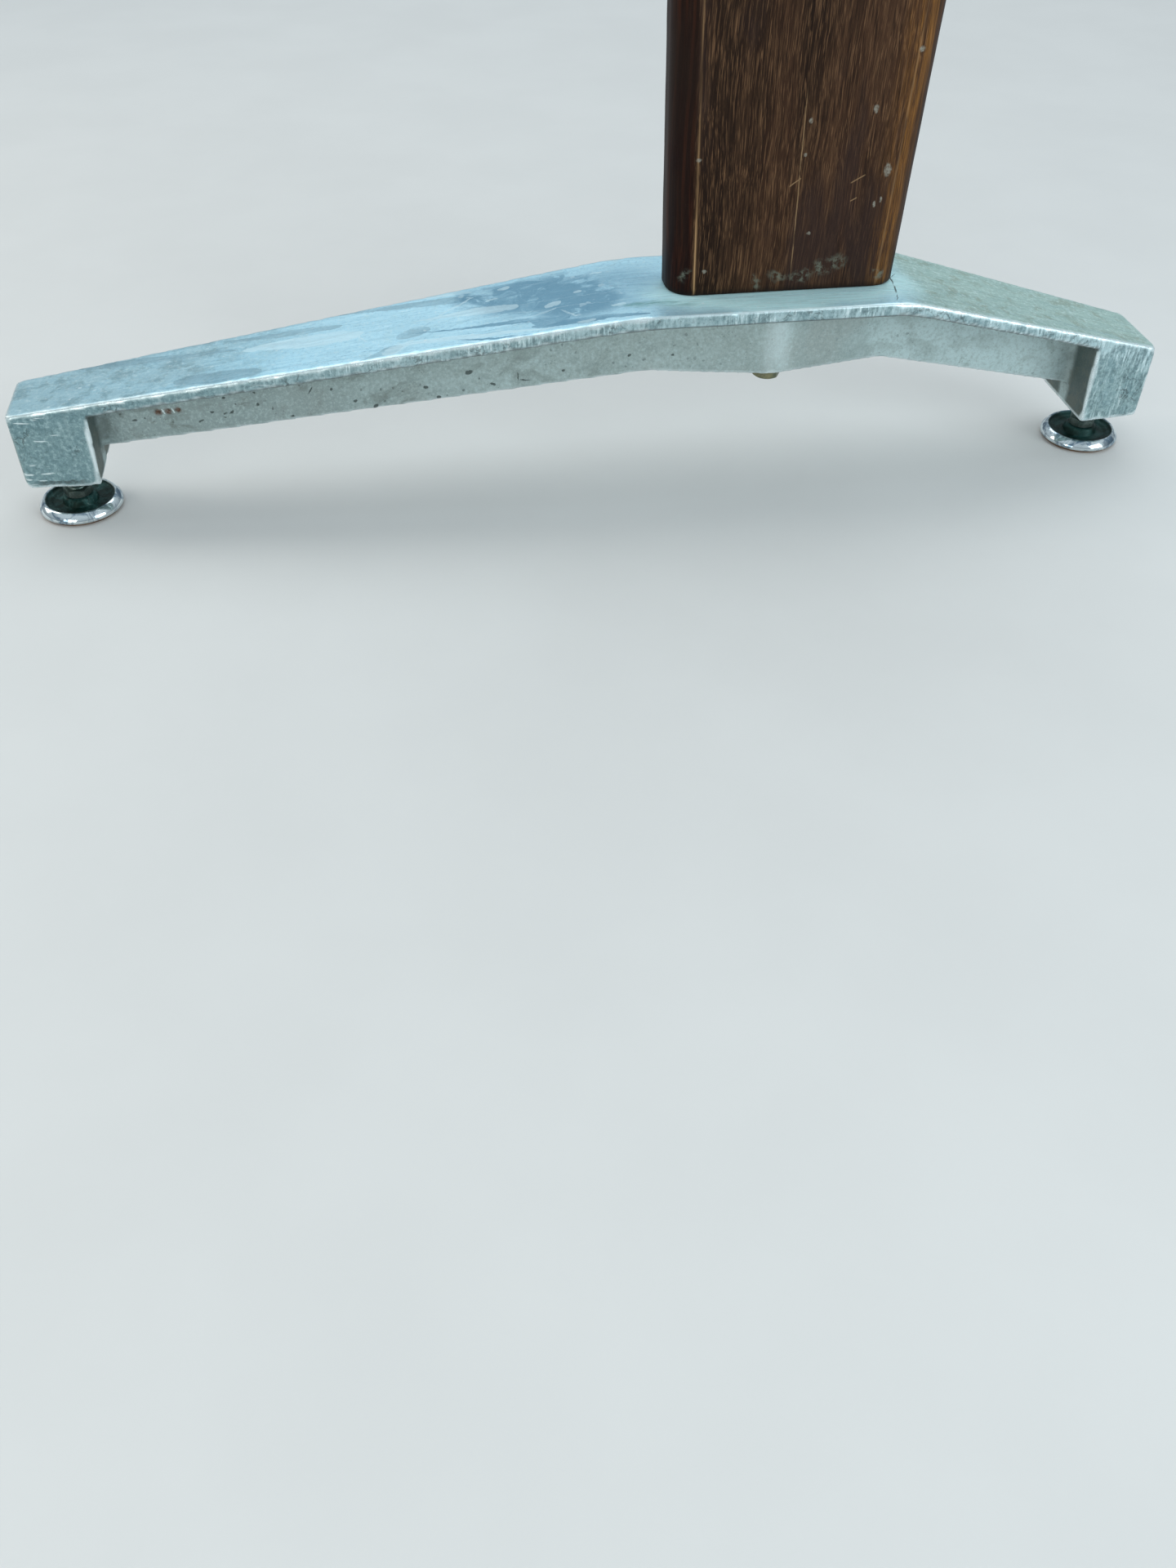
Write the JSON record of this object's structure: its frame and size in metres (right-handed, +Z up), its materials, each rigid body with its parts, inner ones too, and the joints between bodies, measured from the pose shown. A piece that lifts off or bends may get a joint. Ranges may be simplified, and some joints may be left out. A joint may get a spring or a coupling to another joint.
{
  "type": "stand upright with offset foot",
  "caption": "Free-standing upright: a flat tapered hardwood post bolted to a cast foot with a long and a short arm, levelling glides and a top bracket with screw holes.",
  "frame": {"origin": "on the floor, midway between the two glides", "axes": "+Z up, +X along the foot towards its short arm, +Y across the foot"},
  "size_m": [0.59, 0.074, 0.72],
  "materials": {
    "cast_aluminium": "worn, part polished cast aluminium with file marks",
    "stained_hardwood": "dark stained and varnished hardwood, worn",
    "brass_insert": "plain brass",
    "zinc_steel": "yellow passivated zinc, aged",
    "pin_steel": "ground steel",
    "stem_steel": "zinc plated steel",
    "chrome_cap": "bright chrome rim, stained dish",
    "brown_cushion": "brown moulded plastic"
  },
  "bodies": {
    "stand": {"foot_casting": "cast_aluminium", "upright_post": "stained_hardwood", "post_lower_insert": "brass_insert", "foot_bolt": "zinc_steel", "foot_bolt_washer": "zinc_steel", "foot_bolt_spring_washer": "zinc_steel", "foot_locating_pins": "pin_steel", "top_bracket": "cast_aluminium", "post_upper_insert": "brass_insert", "top_bolt": "zinc_steel", "top_bolt_washer": "zinc_steel", "top_bolt_spring_washer": "zinc_steel", "top_locating_pins": "pin_steel", "left_lock_nut": "zinc_steel", "right_lock_nut": "zinc_steel"},
    "left_glide": {"left_glide_cap": "chrome_cap", "left_glide_cushion": "brown_cushion"},
    "left_stem": {"left_glide_stem": "stem_steel"},
    "right_glide": {"right_glide_cap": "chrome_cap", "right_glide_cushion": "brown_cushion"},
    "right_stem": {"right_glide_stem": "stem_steel"}
  },
  "joints": [
    {"name": "left_level", "type": "slide", "parent": "stand", "child": "left_glide", "axis": [0, 0, -1], "range_m": [-0.0045, 0.012]},
    {"name": "left_screw", "type": "hinge", "parent": "left_glide", "child": "left_stem", "pos_m": [-0.274, 0, 0.01], "axis": [0, 0, 1], "range_deg": [-1080, 2880]},
    {"name": "right_level", "type": "slide", "parent": "stand", "child": "right_glide", "axis": [0, 0, -1], "range_m": [-0.0045, 0.012]},
    {"name": "right_screw", "type": "hinge", "parent": "right_glide", "child": "right_stem", "pos_m": [0.274, 0, 0.01], "axis": [0, 0, 1], "range_deg": [-1080, 2880]}
  ],
  "couplings": [
    {"joint": "left_screw", "follows": "left_level", "rad_per_m": 4188.8},
    {"joint": "right_screw", "follows": "right_level", "rad_per_m": 4188.8}
  ]
}
